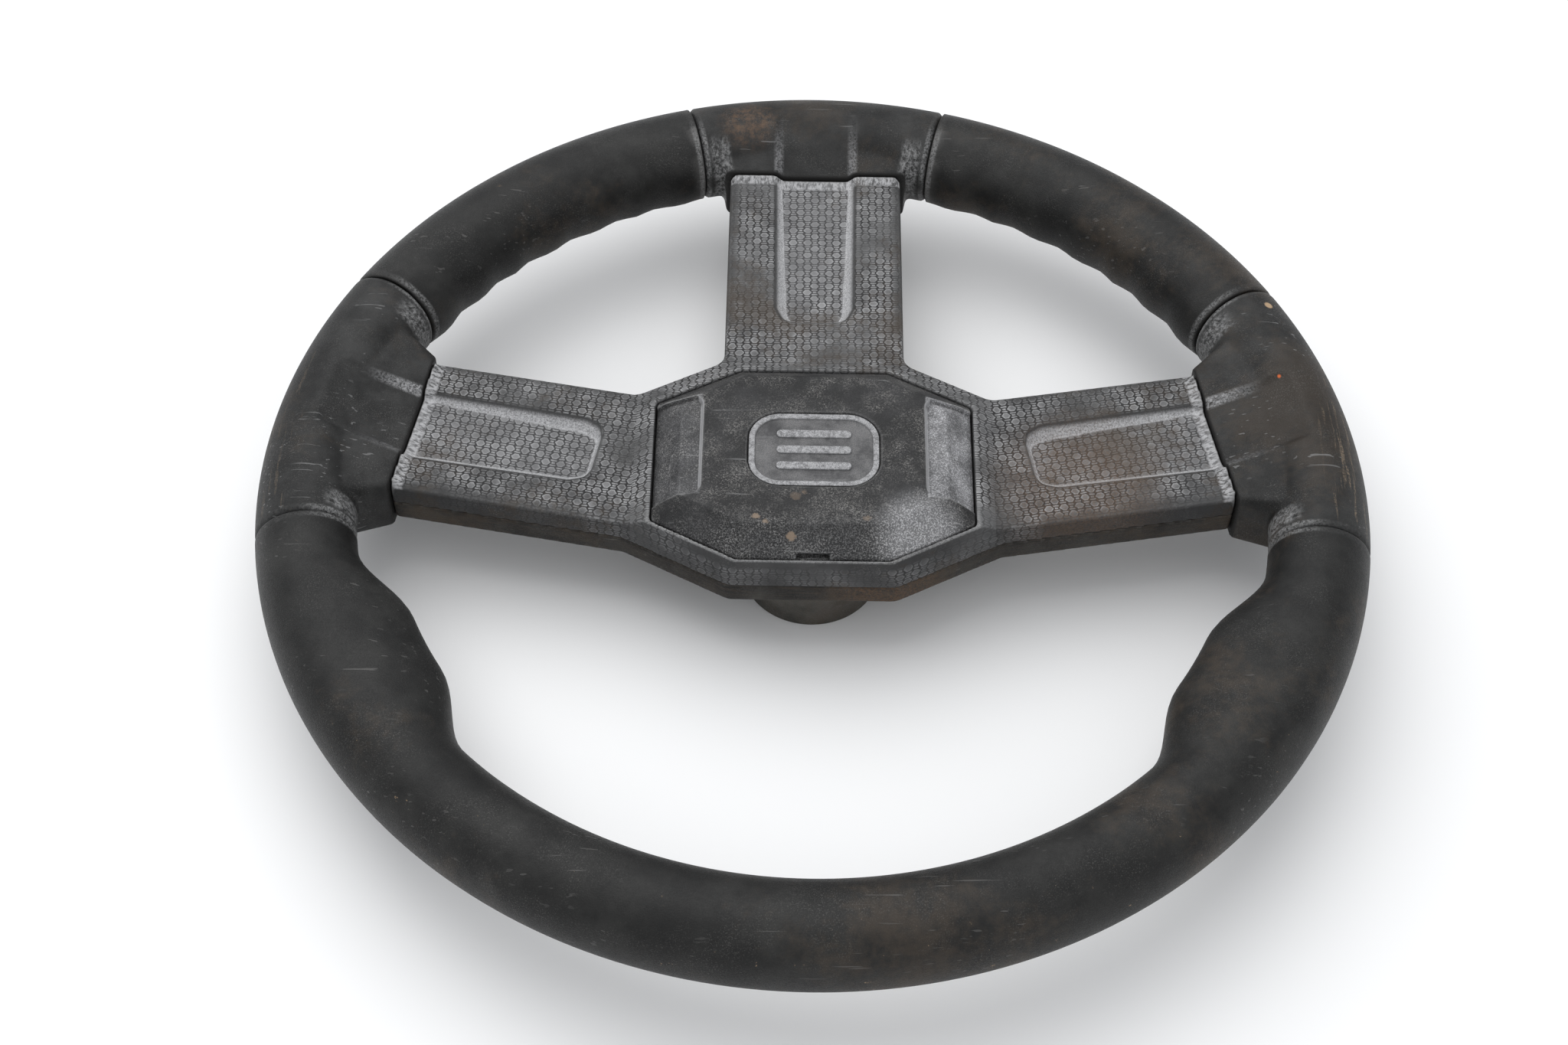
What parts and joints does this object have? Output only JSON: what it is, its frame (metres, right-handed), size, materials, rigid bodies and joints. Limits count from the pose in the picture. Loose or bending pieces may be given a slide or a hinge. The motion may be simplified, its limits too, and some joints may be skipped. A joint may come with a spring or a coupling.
{
  "type": "steering wheel",
  "caption": "Moulded three-spoke off-road steering wheel with palm swells, finger ripples, a splined boss and a pull-off faceted centre cap.",
  "frame": {"origin": "on the steering-column axis, at the foot of the hub boss", "axes": "+Z along the column axis towards the driver, +Y along the single lower spoke, +X to the right as seen from in front of the upper arc"},
  "size_m": [0.356, 0.356, 0.057],
  "materials": {
    "grip_foam": "dull charcoal foam skin with dirt and fine scratches",
    "socket_foam": "smooth charcoal foam skin, paler on worn ridges",
    "cobbled_foam": "cobbled grain, worn grey",
    "smooth_foam": "smooth foam skin with a film of dry mud",
    "cap_plastic": "fine-grained black plastic with pale scuffs",
    "badge_plastic": "worn pale grey on the raised parts",
    "armature_steel": "black paint",
    "weld_metal": "black paint over weld bead",
    "sleeve_steel": "turned and broached steel, lightly oiled",
    "screw_steel": "dark zinc plating"
  },
  "bodies": {
    "wheel": {"rim_core_ring": "armature_steel", "ring_welds": "weld_metal", "hub_plate": "armature_steel", "hub_sleeve": "sleeve_steel", "hub_welds": "weld_metal", "rim_grip_upper": "grip_foam", "rim_grip_left": "grip_foam", "rim_grip_right": "grip_foam", "front_cover": "cobbled_foam", "rear_cover": "smooth_foam", "boss_sleeve": "smooth_foam", "cover_screws": "screw_steel", "spoke_bar_left": "armature_steel", "spoke_bar_right": "armature_steel", "spoke_bar_lower": "armature_steel", "spoke_socket_left": "socket_foam", "spoke_socket_right": "socket_foam", "spoke_socket_lower": "socket_foam"},
    "cap": {"centre_cap": "cap_plastic", "cap_badge": "badge_plastic"}
  },
  "joints": [
    {"name": "cap_lift", "type": "slide", "parent": "wheel", "child": "cap", "axis": [0, 0, 1], "range_m": [0, 0.03]}
  ]
}
